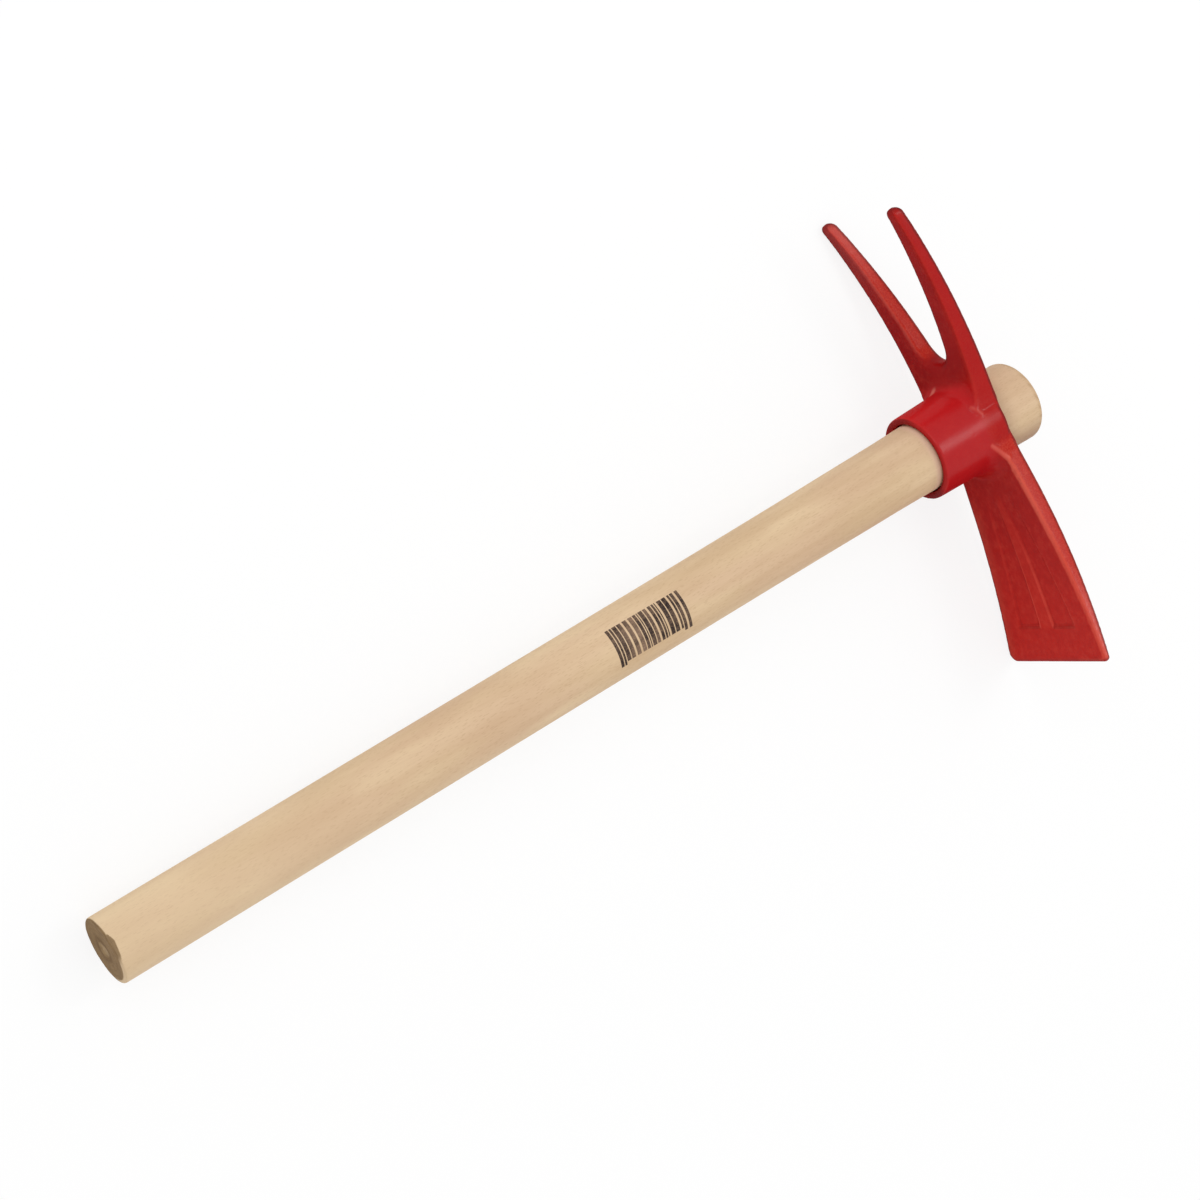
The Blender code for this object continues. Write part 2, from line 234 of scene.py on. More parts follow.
def open_tree(name, inputs):
    """A geometry node tree with named inputs, as a dictionary of their sockets."""
    tree = bpy.data.node_groups.new(name, "GeometryNodeTree")
    for label, kind in {"Geometry": "Geometry", **inputs}.items():
        tree.interface.new_socket(label, in_out="INPUT", socket_type="NodeSocket" + kind)
    tree.interface.new_socket("Geometry", in_out="OUTPUT", socket_type="NodeSocketGeometry")
    entry = tree.nodes.new("NodeGroupInput")
    return {socket.name: Socket(tree, socket) for socket in entry.outputs if socket.name}


def close_tree(geometry, material):
    """Ends a tree in loose meshes with their material."""
    made = geometry.node("GeometryNodeRealizeInstances", {}, {0: geometry})
    made = made.node("GeometryNodeSetMaterial", {}, {"Geometry": made, "Material": material})
    made.feed(geometry.tree.nodes.new("NodeGroupOutput").inputs["Geometry"])
    return geometry.tree


def run_tree(name, mesh, tree, values):
    """The tree's result on the mesh, as a plain mesh piece at the origin."""
    piece = bpy.data.objects.new(name, mesh)
    scene.collection.objects.link(piece)
    modifier = piece.modifiers.new(name, "NODES")
    modifier.node_group = tree
    for item in tree.interface.items_tree:
        if item.in_out == "INPUT" and item.name in values:
            modifier[item.identifier] = values[item.name]
    evaluated = piece.evaluated_get(bpy.context.evaluated_depsgraph_get())
    result = bpy.data.meshes.new_from_object(evaluated)
    piece.modifiers.clear()
    piece.data = result
    result.name = name
    return piece


# The lathe: the turning line, point by point, is carried round the axis. The grip then
# swells and bows a little, and the sawn face gets its marks and its missing splinter.
# Each pair of lengths is where a change begins and where it is complete.
POLE_GAP = 0.00002
SAWN_DEPTH = (0.0001, 0.0010)
CENTRE_RADII = (0.0022, 0.0040)
SWELLING_ENDS = (0.3900, 0.4300)
SWELLING_RADII = (0.0090, 0.0130)
TORN_DEPTH = (0.00005, 0.00025)
TORN_REACH = (0.0006, 0.0012)
TEAR_SLOPE = 3.0
TEAR_FEATHER = 0.0001
TEAR_RAGGEDNESS = 0.20

lathe = open_tree("lathe", {
    "Segments": "Int", "Bow": "Float", "Bow Span": "Float", "Unevenness": "Float",
    "Swelling": "Float", "Saw Roughness": "Float", "Centre Mark": "Float",
    "Tear Start": "Float", "Tear Peak": "Float", "Tear End": "Float", "Tear Length": "Float",
    "Tear Width": "Float", "Material": "Material"})
line = lathe["Geometry"]
rings = line.node("GeometryNodeAttributeDomainSize", {}, {"Geometry": line})
sheet = rings.node("GeometryNodeMeshGrid", {}, {
    "Size X": 1.0, "Size Y": 1.0, "Vertices X": rings, "Vertices Y": lathe["Segments"] + 1.0})
where = sheet.node("GeometryNodeInputPosition")
sheet_x, sheet_y, _ = where.split()
ring = (sheet_x + 0.5) * (rings - 1.0) + 0.5
turn = (sheet_y + 0.5) * (2 * math.pi)
point = line.node("GeometryNodeSampleIndex", {"data_type": "FLOAT_VECTOR"}, {
    "Geometry": line, "Value": where, "Index": ring.maths("FLOOR")})
along, _, radius = point.split()
turned = sheet.moved(
    Position=where.join(along, radius * turn.maths("COSINE"), radius * turn.maths("SINE")))
turned = turned.node("GeometryNodeMergeByDistance", {}, {"Geometry": turned,
                                                         "Distance": POLE_GAP})
x, y, z = where.split()
outward = where.join(0.0, y, z)
from_axis = outward.measure("LENGTH")
bow = ((x / lathe["Bow Span"]).clamped() * math.pi).maths("SINE") * lathe["Bow"]
swell = (where.noise((9.0, 45.0, 45.0)) - 0.5) * lathe["Unevenness"] * 2.0
swollen = lathe["Swelling"] * (1.0 - x.ramp(*SWELLING_ENDS)) * from_axis.ramp(*SWELLING_RADII)
# the sawn face: fine ridges of the saw and a shallow mark of the lathe's centre
face = 1.0 - x.ramp(*SAWN_DEPTH)
saw = (where.noise((0.0, 160.0, 1400.0)) - 0.5) * lathe["Saw Roughness"] * face
dimple = (1.0 - from_axis.ramp(*CENTRE_RADII)) * lathe["Centre Mark"] * face
# the missing splinter: the rim is torn off to a slope, longest near one end of the tear
ragged = (where.noise((300.0, 900.0, 900.0), 3.0, 0.6) - 0.5) * TEAR_RAGGEDNESS
round_angle = z.maths("ARCTAN2", y) + ragged
rise = round_angle.ramp(lathe["Tear Start"], lathe["Tear Peak"])
fall = (lathe["Tear End"] - round_angle) / (lathe["Tear End"] - lathe["Tear Peak"])
tear = rise * fall.clamped() * lathe["Tear Length"]
near_face = (1.0 - x / (tear * TEAR_SLOPE + TEAR_FEATHER)).clamped()
rim = (from_axis - (BUTT_RADIUS - lathe["Tear Width"])) / lathe["Tear Width"]
tear = tear * rim.clamped() * near_face * near_face
torn = tear.ramp(*TORN_DEPTH) * (1.0 - x.ramp(*TORN_REACH))
shift = outward.vector("NORMALIZE").scale(swell + swollen)
shift = shift.vector("ADD", where.join(saw + dimple + tear, 0.0 - bow, 0.0))
finished = turned.store("torn", torn).moved(Offset=shift).shaded(True)
lathe_tree = close_tree(finished, lathe["Material"])


def seen(red, green, blue):
    """A colour as a screen shows it, 0 to 255, in the shader's own scale."""
    return tuple(((c / 255 + 0.055) / 1.055) ** 2.4 for c in (red, green, blue)) + (1.0,)


def finish_named(name):
    """A new material, its shader node, and its object coordinates."""
    material = bpy.data.materials.new(name)
    material.use_nodes = True
    tree = material.node_tree
    coordinates = tree.nodes.new("ShaderNodeTexCoord")
    return material, tree.nodes["Principled BSDF"], Socket(tree, coordinates.outputs["Object"])


def layered(colour, layers):
    """The colour under its layers, each a cover from 0 to 1 and the colour that it has."""
    for cover, layer_colour in layers:
        colour = cover.blend(colour, layer_colour)
    return colour


# Beech: pale and even, with faint growth layers round a heart that drifts off the axis,
# short dark ray flecks and fine pores. It is palest by the butt; light from the red lip is
# painted on it by the eye's mouth, and shade is painted behind the head and on the knob's blade
# side.
RING_PITCH = 0.0023
HEART_Y = 0.0002
HEART_Z = -0.0010
HEART_Y_DRIFT = 0.016
HEART_Z_DRIFT = 0.011
HEART_WANDER = 0.004
FLECK_WAVES = (260.0, 1700.0, 1700.0)
beech, shader, spot = finish_named("beech_grain")
# y is positive on the tines' side and negative on the blade's, and ramps are in metres
x, y, z = spot.split()
off_axis = (y * y + z * z).maths("SQRT")
aside_y = y - (x * HEART_Y_DRIFT + HEART_Y)
aside_z = z - (x * HEART_Z_DRIFT + HEART_Z)
wander = (spot.noise((5.0, 40.0, 40.0)) - 0.5) * HEART_WANDER
from_heart = (aside_y * aside_y + aside_z * aside_z).maths("SQRT") + wander
layer = (from_heart * (2 * math.pi / RING_PITCH)).maths("SINE")
layer = (layer * 0.5 + 0.5).ramp(0.35, 1.0)
patches = spot.noise((14.0, 60.0, 60.0), 3.0, 0.55).ramp(0.30, 0.70)
pinkness = spot.noise((11.0, 48.0, 48.0)).other("Color")
pinkness = pinkness.node("ShaderNodeSeparateColor", {}, {0: pinkness}, 2).ramp(0.42, 0.62)
fibre = spot.noise((90.0, 2600.0, 2600.0), 3.0, 0.6)
rays = spot.node("ShaderNodeTexVoronoi", {"feature": "F1"}, {
    "Vector": spot.vector("MULTIPLY", FLECK_WAVES), "Scale": 1.0})
rays = 1.0 - rays.ramp(0.16, 0.34)
pores = spot.noise((900.0, 2200.0, 2200.0), 3.0, 0.7)
by_butt = 1.0 - x.ramp(0.0400, 0.1600)
# painted shade: behind the head and on the knob's blade side
painted_shade_behind_head = x.ramp(0.4760, 0.4780) * (1.0 - (x + pores * 0.004).ramp(0.4815, 0.4915))
painted_shade_knob_side = x.ramp(0.4700, 0.4850) * (0.0 - y).ramp(0.0060, 0.0180)
# painted light: the red lip's glow on the wood by the eye's mouth
painted_glow_by_mouth = x.ramp(0.4345, 0.4378) * (1.0 - x.ramp(0.4386, 0.4392))
# the sawn end and the torn rim are browner, because they drink up dirt, with the heart a
# little paler; the rim's blade side is rubbed clean
saw_wander = (spot.noise((500.0, 500.0, 500.0)) - 0.5) * 0.0003
end_face = 1.0 - (x + saw_wander).ramp(0.0003, 0.0008)
end_face = end_face.maths("MAXIMUM", spot.stored("torn") * 0.9)
worn_rim = off_axis.ramp(0.0127, 0.0134)
worn_rim = worn_rim * (0.0 - y).ramp(0.0, 0.0060) * z.ramp(-0.0060, 0.0020)
end_face = end_face * (1.0 - worn_rim * 0.85)
outside_heart = from_heart.ramp(0.0030, 0.0042)
dark_ring = outside_heart * (1.0 - from_heart.ramp(0.0058, 0.0074))
stain = spot.noise((300.0, 260.0, 260.0), 3.0, 0.6).ramp(0.35, 0.68)
end_wood = layered(seen(168, 140, 102), [
    (outside_heart, seen(150, 122, 86)),
    (dark_ring * 0.40, seen(98, 70, 42)),
    (layer * 0.18, seen(104, 78, 50)),
    (stain * 0.35, seen(108, 84, 58)),
    (pores.ramp(0.45, 0.75) * 0.40, seen(92, 66, 40))])
# the knob's own end, sanded with the rest and cleaner
knob_face = (x + (spot.noise((300.0, 300.0, 300.0)) - 0.5) * 0.0012).ramp(0.4986, 0.5008)
knob_wood = (layer * 0.5 + pores.ramp(0.45, 0.70) * 0.4).blend(
    seen(206, 172, 132), seen(158, 120, 82))
wood = layered(seen(219, 188, 150), [
    (patches, seen(235, 207, 169)),
    (pinkness * 0.55, seen(219, 184, 152)),
    (layer * 0.08, seen(190, 150, 108)),
    (fibre.ramp(0.35, 0.75) * 0.12, seen(186, 148, 110)),
    (rays * 0.20, seen(168, 126, 88)),
    (by_butt * 0.28, seen(241, 217, 178)),
    # painted shade behind the head
    (painted_shade_behind_head * 0.45, seen(180, 148, 120)),
    (end_face, end_wood),
    # painted shade on the knob's blade side
    (painted_shade_knob_side * 0.70, seen(170, 138, 110)),
    # painted light from the red lip by the eye's mouth
    (painted_glow_by_mouth * 0.60, seen(255, 216, 190)),
    (knob_face * 0.60, knob_wood)])
wood.feed(shader.inputs["Base Color"])
(fibre * 0.16 + rays * 0.06 + end_face * 0.14 + 0.47).feed(shader.inputs["Roughness"])
grain_height = fibre * 0.5 - rays * 0.35 + (pores * end_face) * 1.5 + layer * 0.1
grain_height.relief(strength=0.35, depth=0.00012).feed(shader.inputs["Normal"])
shader.inputs["Specular IOR Level"].default_value = 0.15

profile = bpy.data.meshes.new("turning_line")
profile.from_pydata([(place, 0.0, radius) for place, radius in turning_line],
                    [(i, i + 1) for i in range(len(turning_line) - 1)], [])
handle = run_tree("turned_handle", profile, lathe_tree, {
    "Segments": 176, "Bow": 0.00020, "Bow Span": 0.47, "Unevenness": 0.00010,
    "Swelling": 0.00024, "Saw Roughness": 0.00030, "Centre Mark": 0.0004,
    "Tear Start": math.radians(48), "Tear Peak": math.radians(69),
    "Tear End": math.radians(112), "Tear Length": 0.0016, "Tear Width": 0.0026,
    "Material": beech})
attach(handle, "root")
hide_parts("handle")

# Printed bars: brown ink rolled on round the handle, a plain row of bars of uneven width
# that stands for no number. The ink lies in a skin a few hundredths of a millimetre thick,
# and the two bars at each end of the row reach further round than the rest.
CLEAR_OF_WOOD = 0.03
PRESS_REACH = 0.05

bars = open_tree("print_roller", {
    "Handle": "Object", "Bars": "Int", "Start": "Float", "Length": "Float", "Top": "Float",
    "Bottom": "Float", "Guard Bottom": "Float", "Skew": "Float", "Ink": "Float", "Seed": "Int",
    "Material": "Material"})
row = bars["Bars"].node("GeometryNodeMeshLine", {}, {"Count": bars["Bars"]})
number = row.node("GeometryNodeInputIndex")


def random_step(low, high, step, extra):
    """A number for each bar, in even steps, drawn with the tree's seed and an extra one."""
    made = row.node("FunctionNodeRandomValue", {"data_type": "FLOAT"},
                    {2: low, 3: high, "ID": number, "Seed": bars["Seed"] + extra}, 1)
    return made.maths("SNAP", step)


# the row on a straight line, its bars and gaps 1 to 4 and 1 to 2 thin widths wide
ink_width = random_step(low=1.0, high=4.9, step=1.0, extra=0.0)
ink_gap = random_step(low=1.0, high=2.9, step=1.0, extra=7.0)
summed = row.node("GeometryNodeAccumulateField", {"data_type": "FLOAT"},
                  {"Value": ink_width + ink_gap}, 1)
thin_width = bars["Length"] / (summed.other("Total") - 1.0)
# 1 on the first two bars and on the last two, by their number from 0
guard = number.maths("COMPARE", 0.5, 0.6) + number.maths("COMPARE", bars["Bars"] - 1.5, 0.6)
points = row.moved(Position=row.join(bars["Start"] + summed * thin_width, 0.0, 0.0))
ink_lack = random_step(low=0.0, high=1.0, step=0.05, extra=3.0)
points = points.store("guard", guard).store("ink_lack", ink_lack)
slab = row.node("GeometryNodeMeshCube", {}, {
    "Size": (1.0, 1.0, 1.0), "Vertices X": 3, "Vertices Y": 22, "Vertices Z": 2})
slab = slab.node("GeometryNodeTransform", {}, {"Geometry": slab,
                                               "Translation": (0.5, 0.5, 0.5)})
placed = points.node("GeometryNodeInstanceOnPoints", {}, {
    "Points": points, "Instance": slab, "Scale": row.join(ink_width * thin_width, 1.0, 1.0)})
loose = placed.node("GeometryNodeRealizeInstances", {}, {0: placed})
# each slab is wrapped round the axis and pressed straight in until the ink stands proud of
# the wood by its own thickness, with as much sunk in it
along, round_share, depth = loose.node("GeometryNodeInputPosition").split()
is_guard = loose.node("GeometryNodeInputNamedAttribute", {"data_type": "FLOAT"},
                      {"Name": "guard"})
bottom = bars["Bottom"] + is_guard * (bars["Guard Bottom"] - bars["Bottom"])
run = (along - bars["Start"]) / bars["Length"]
angle = bars["Top"] + run * bars["Skew"] + round_share * (bottom - bars["Top"])
aim = angle.join(0.0, angle.maths("COSINE"), angle.maths("SINE"))
outside = aim.scale(CLEAR_OF_WOOD).vector("ADD", aim.join(along, 0.0, 0.0))
wood_skin = aim.node("GeometryNodeObjectInfo", {"transform_space": "RELATIVE"},
                     {"Object": bars["Handle"]}, "Geometry")
hit = aim.node("GeometryNodeRaycast", {"data_type": "FLOAT_VECTOR"}, {
    "Target Geometry": wood_skin, "Source Position": outside,
    "Ray Direction": aim.scale(-1.0), "Ray Length": PRESS_REACH}, "Hit Position")
lift = aim.scale((depth * 2.0 - 1.0) * bars["Ink"])
wrapped = loose.moved(Position=hit.vector("ADD", lift)).shaded(False)
bars_tree = close_tree(wrapped, bars["Material"])

# Printing ink: thin enough for the grain to show through where the roller left little. It
# lacks ink most about one place near the row's middle, and both ends of the row are darker.
PALEST_PLACE = 0.2680
ink, shader, spot = finish_named("brown_ink")
starved = spot.noise((700.0, 1800.0, 1800.0), 3.0, 0.65).ramp(0.44, 0.66)
faded = spot.noise((90.0, 160.0, 160.0)).ramp(0.38, 0.62)
x, _, _ = spot.split()
pressed = (x - PALEST_PLACE).size().ramp(0.0060, 0.0150)
lacking = (spot.stored("ink_lack") * (1.0 - pressed * 0.75)).ramp(0.35, 1.0)
colour = (starved * 0.35 + faded * 0.25 + lacking * 0.55).blend(
    seen(38, 21, 18), seen(158, 128, 104))
colour.feed(shader.inputs["Base Color"])
(starved * 0.2 + 0.5).feed(shader.inputs["Roughness"])
shader.inputs["Specular IOR Level"].default_value = 0.3

printed_bars = run_tree("printed_bars", bpy.data.meshes.new("printed_bars"), bars_tree, {
    "Handle": handle, "Bars": 18, "Start": 0.2507, "Length": 0.0396,
    "Top": math.radians(53), "Bottom": math.radians(116), "Guard Bottom": math.radians(122),
    "Skew": math.radians(2), "Ink": 0.00004, "Seed": 11, "Material": ink})
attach(printed_bars, "root")

# Head: one piece of steel, cast or forged with its blade, two tines and collar, then dipped
# in thick red paint that fills the corners and thins out over the edges. Its shape is the
# solid's own, rebuilt from cubes small enough for the paint to soften.
PAINT_CUBE = 0.00061
MERGE_GAP = 0.00001
head_copy = bmesh.new()
head_copy.from_mesh(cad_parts["head"].data)
bmesh.ops.remove_doubles(head_copy, verts=head_copy.verts, dist=MERGE_GAP)
head_mesh = bpy.data.meshes.new("forged_head")
head_copy.to_mesh(head_mesh)
head_copy.free()
blank = bpy.data.objects.new("forging", head_mesh)
scene.collection.objects.link(blank)
remesh = blank.modifiers.new("Skin", "REMESH")
remesh.mode = "VOXEL"
remesh.voxel_size = PAINT_CUBE
remesh.use_smooth_shade = True
skin = bpy.data.meshes.new_from_object(
    blank.evaluated_get(bpy.context.evaluated_depsgraph_get()))
bpy.data.objects.remove(blank)

# The dip: run-outs are raised where the flanks' front rims die away on the eye, corners are
# softened, and a coat goes on all but the collar and the bore, where the wood passes. For
# the finish, the mesh keeps how sharply it bends and which way it faces.
TOE_RADII = (0.0003, 0.0014)
OFF_COLLAR = (0.0206, 0.0225)
PLATE_FRONT = (0.4600, 0.4680)
FACING_BLUR = 5
MILLIMETRES = 1000.0

dip = open_tree("paint_dip", {
    "Softening": "Int", "Coat": "Float", "Unevenness": "Float", "Pitting": "Float",
    "Edge Reach": "Int", "Blade Toe Root": "Vector", "Blade Toe Tip": "Vector",
    "Tine Toe Root": "Vector", "Tine Toe Tip": "Vector", "Toe Height": "Float",
    "Material": "Material"})
body = dip["Geometry"]
where = body.node("GeometryNodeInputPosition")
normal = body.node("GeometryNodeInputNormal")
x, y, z = where.split()
either_side = where.join(x, y, z.size())


def toe_between(root, tip):
    """1 on the line where a flank's rim runs out on the eye, on both sides of the head."""
    toe_line = tip.vector("SUBTRACT", root)
    reach = either_side.vector("SUBTRACT", root)
    share = reach.measure("DOT_PRODUCT", toe_line) / toe_line.measure("DOT_PRODUCT", toe_line)
    aside = reach.measure("DISTANCE", toe_line.scale(share.clamped()))
    return 1.0 - aside.ramp(*TOE_RADII)


toe = toe_between(dip["Blade Toe Root"], dip["Blade Toe Tip"])
toe = toe.maths("MAXIMUM", toe_between(dip["Tine Toe Root"], dip["Tine Toe Tip"]))
body = body.store("toe", toe).moved(Offset=normal.scale(toe * dip["Toe Height"]))
body = body.moved(Position=where.blurred(dip["Softening"]))
bend = where.vector("SUBTRACT", where.blurred(dip["Edge Reach"])).measure("DOT_PRODUCT", normal)
_, _, upright = normal.split()
spread_x, _, spread_z = normal.blurred(FACING_BLUR).split()
body = body.store("bend", bend * MILLIMETRES).store("flank", upright.size())
body = body.store("front", 0.0 - spread_x).store("far", 0.0 - spread_z)
lumps = (where.noise((110.0, 110.0, 110.0), 3.0) - 0.5) * dip["Unevenness"]
pits = where.noise((420.0, 420.0, 420.0)).ramp(0.60, 0.78) * dip["Pitting"]
dipped = where.join(0.0, y, z).measure("LENGTH").ramp(*OFF_COLLAR) * x.ramp(*PLATE_FRONT)
body = body.moved(Offset=normal.scale(dipped * dip["Coat"] + lumps - pits))
dip_tree = close_tree(body.shaded(True), dip["Material"])

# Red paint: semi-gloss, mottled over the rough steel, with a slight orange peel. It is deepest
# on the tines and brighter on the collar and the blade's foot; front edges are rubbed light and
# carry painted highlights, back and far edges carry painted shade, and it shines most in the
# hollows and on the flanks' ends.
# the place of the painted highlight in the collar's far corner
GLINT_PLACE = (0.4650, 0.0216, -0.0058)
SILL_DOWN = 0.1034
RIB_HALF = 0.0012
# how much each line moves out from the rib's middle, for each metre down the blade
RIB_SPREAD = 0.035
PANEL_SPREAD = 0.18
FAR_SIDE_SPREAD = 0.17
paint, shader, spot = finish_named("red_enamel")
# y is positive on the tines and negative on the blade; z is positive away from the floor
x, y, z = spot.split()
down = 0.0 - y
from_rib = z.size()
off_axis = (y * y + z * z).maths("SQRT")
bend = spot.stored("bend")
facing = spot.stored("front")
front = facing.ramp(-0.5, 0.0)
cloud = spot.noise((70.0, 70.0, 70.0), 3.0, 0.55)
mottle = spot.noise((300.0, 240.0, 300.0), 4.0, 0.66)
peel = spot.noise((520.0, 520.0, 520.0))
grit = spot.noise((1500.0, 1500.0, 1500.0), 2.0, 0.6)
# the parts of the head: the collar, the blade's inner face, the tines and the flanks
on_collar = (1.0 - x.ramp(0.4640, 0.4720)) * (1.0 - y.size().ramp(0.0205, 0.0245))
off_collar = 1.0 - on_collar
beside_face = (from_rib - down * PANEL_SPREAD).ramp(0.0072, 0.0096)
inner_face = down.ramp(0.0260, 0.0320) * (1.0 - beside_face)
on_face = inner_face * front
on_tines = y.ramp(0.0180, 0.0300)
far_tine = 1.0 - z.ramp(0.0000, 0.0060)
flank = spot.stored("flank").ramp(0.55, 0.95) * (1.0 - on_face)
off_flank = 1.0 - flank
near_side = flank * y.ramp(-0.0120, -0.0060) * z.ramp(0.0000, 0.0060) * off_collar
far_side = (0.0 - z - down * FAR_SIDE_SPREAD).ramp(0.0080, 0.0160)
far_side = far_side * down.ramp(0.0300, 0.0500) * off_flank
ends = down.ramp(0.0700, 0.1060) + y.ramp(0.0700, 0.1060) * far_tine
# painted sheen on the far tine's front near its tip
far_tip_sheen = y.ramp(0.0600, 0.0950) * far_tine * off_flank
# painted shade at the tine ends
tine_end_shade = y.ramp(0.1080, 0.1115)
towards_edge = down.ramp(0.0300, 0.1150)
# painted shade along the cutting edge's underside
cutting_edge_shade = down.ramp(0.1184, 0.1198)
# the collar: painted light on its top, painted shade on its underside and on the lip at its
# mouth, but for its near rim, and a painted highlight in the far corner between it and the
# plate
painted_light_collar_top = on_collar * y.ramp(0.0100, 0.0210)
painted_shade_under_collar = on_collar * down.ramp(0.0080, 0.0210)
painted_shade_rim = 1.0 - x.ramp(0.4383, 0.4390)
lip_outside = z.ramp(0.0050, 0.0130) * off_axis.ramp(0.0181, 0.0196)
painted_shade_under_lip = (1.0 - x.ramp(0.4395, 0.4430)) * down.ramp(0.0130, 0.0185)
painted_shade_under_lip = painted_shade_under_lip * (1.0 - z.ramp(0.0050, 0.0130))
painted_glint = 1.0 - spot.measure("DISTANCE", GLINT_PLACE).ramp(0.0010, 0.0036)
# the blade's rib with painted light on it and painted highlights on its two edges, and painted
# shadow in the step across the foot of the panels
above_sill = down.ramp(0.0310, 0.0400) * (1.0 - down.ramp(0.1025, 0.1045)) * front
into_rib = down * RIB_SPREAD + RIB_HALF - from_rib
painted_light_rib = into_rib.ramp(0.0, 0.0010) * above_sill * off_flank
rib_edge_highlight = (1.0 - into_rib.size().ramp(0.0003, 0.0011)) * above_sill * off_flank
rib_edge_highlight = rib_edge_highlight * down.ramp(0.0450, 0.0900)
sill_shadow = (1.0 - (down - SILL_DOWN).size().ramp(0.0003, 0.0011)) * on_face
sill_shadow = sill_shadow * (from_rib - 0.0048).ramp(0.0, 0.0006) * (1.0 - from_rib.ramp(0.0205, 0.0220))
# edges and hollows, by how the surface bends: painted highlights on rubbed front edges and
# ridges, painted shade on back and far edges, and pooled paint with painted shade in the
# hollows
edge = bend.ramp(0.02, 0.12)
edge_wear_and_highlight = down.ramp(0.0080, 0.0240) * (1.0 - on_face * 0.6) * off_collar * 0.42 + 0.08
near_ridge_highlight = edge * z.ramp(0.0120, 0.0200) * down.ramp(0.0120, 0.0200) * front
near_ridge_highlight = near_ridge_highlight * (0.38 - down.ramp(0.0350, 0.0900) * 0.22)
tine_ridge_highlight = bend.ramp(0.07, 0.14) * front * far_tine * y.ramp(0.0300, 0.0450)
tine_ridge_highlight = tine_ridge_highlight * (1.0 - y.ramp(0.0800, 0.1000))
run_out_highlight = spot.stored("toe") * (0.22 + down.ramp(0.0, 0.0060) * 0.20)
any_edge = bend.ramp(0.01, 0.07)
# painted shade on the back and far edges
back_edge_shade = any_edge * (0.0 - facing).ramp(0.02, 0.24)
far_edge_shade = any_edge * spot.stored("far").ramp(0.02, 0.24) * off_collar * (1.0 - inner_face)
# the hollows: pooled paint, and painted shade in the colour below
hollow = (0.0 - bend).ramp(0.02, 0.14)
pooled = hollow * (1.0 - inner_face)
# the mottle is weaker on the collar, on the flanks, and on the near tine and its root
near_tine = y.ramp(0.0060, 0.0200) * z.ramp(-0.0160, -0.0060)
bare_face = 1.0 - on_collar * 0.75 - flank * off_collar * 0.3 - near_side * 0.45
bare_face = bare_face * (1.0 - near_tine * 0.55)
flank_grit = flank * off_collar * (0.22 - near_side * 0.17)
red = layered(seen(167, 23, 21), [
    (towards_edge, seen(186, 34, 27)),
    (on_tines, seen(149, 13, 15)),
    (on_collar, seen(184, 25, 29)),
    (flank * off_collar * 0.60, seen(198, 38, 18)),
    (near_side * 0.65, seen(168, 12, 22)),
    # painted highlight on the flanks' ends
    (flank * ends * 0.45, seen(214, 84, 74)),
    (far_side * 0.45, seen(190, 74, 58)),
    # painted sheen on the far tine's front near its tip
    (far_tip_sheen * 0.42, seen(142, 66, 64)),
    # painted light on the collar's top, painted shade under it, on its mouth's lip and under
    # the lip
    (painted_light_collar_top * 0.40, seen(214, 36, 38)),
    (painted_shade_under_collar * 0.40, seen(156, 18, 26)),
    (painted_shade_rim * (0.88 - lip_outside * 0.60), seen(100, 8, 17)),
    (painted_shade_under_lip * 0.60, seen(96, 8, 17)),
    # painted light on the rib and its edges, painted shadow in the step at the panels' foot
    (painted_light_rib * 0.30, seen(206, 50, 36)),
    (rib_edge_highlight * 0.45, seen(222, 84, 68)),
    (sill_shadow * 0.38, seen(112, 16, 16)),
    (cloud.ramp(0.30, 0.70) * 0.10, seen(206, 30, 22)),
    # painted highlights on the rubbed edges, the ridges and the run-outs
    (edge * edge_wear_and_highlight, seen(224, 70, 54)),
    (tine_ridge_highlight * 0.25, seen(216, 104, 94)),
    (near_ridge_highlight, seen(232, 120, 100)),
    (run_out_highlight, seen(230, 112, 98)),
    # painted shade at the tine ends
    (tine_end_shade * 0.45, seen(100, 12, 16)),
    # painted highlight in the collar's far corner
    (painted_glint * 0.50, seen(238, 142, 126)),
    # painted shade on the back, far and cutting edges
    (back_edge_shade * 0.72, seen(106, 24, 24)),
    (far_edge_shade * 0.60, seen(106, 24, 24)),
    (cutting_edge_shade * 0.60, seen(132, 16, 24)),
    # darker in the hollows: pooled paint and painted shade
    (hollow * 0.35, seen(120, 10, 12)),
    (mottle.ramp(0.47, 0.70) * bare_face * 0.19, seen(212, 76, 58)),
    ((1.0 - mottle.ramp(0.30, 0.52)) * bare_face * 0.17, seen(128, 14, 15)),
    (grit.ramp(0.48, 0.60) * flank_grit, seen(226, 92, 66)),
    (grit.ramp(0.62, 0.78) * 0.25, seen(110, 12, 14))])
red.feed(shader.inputs["Base Color"])
(cloud * 0.12 + peel * 0.06 + 0.30).feed(shader.inputs["Roughness"])
gloss = flank * (on_collar * 0.18 + ends * 0.50 + 0.08) + pooled * 0.70 + 0.22
gloss.feed(shader.inputs["Coat Weight"])
shader.inputs["Coat Roughness"].default_value = 0.26
shader.inputs["Specular IOR Level"].default_value = 0.0
skin_height = peel * 0.8 + grit * 0.12 + cloud * 0.5
skin_height.relief(strength=0.8, depth=0.00024).feed(shader.inputs["Normal"])

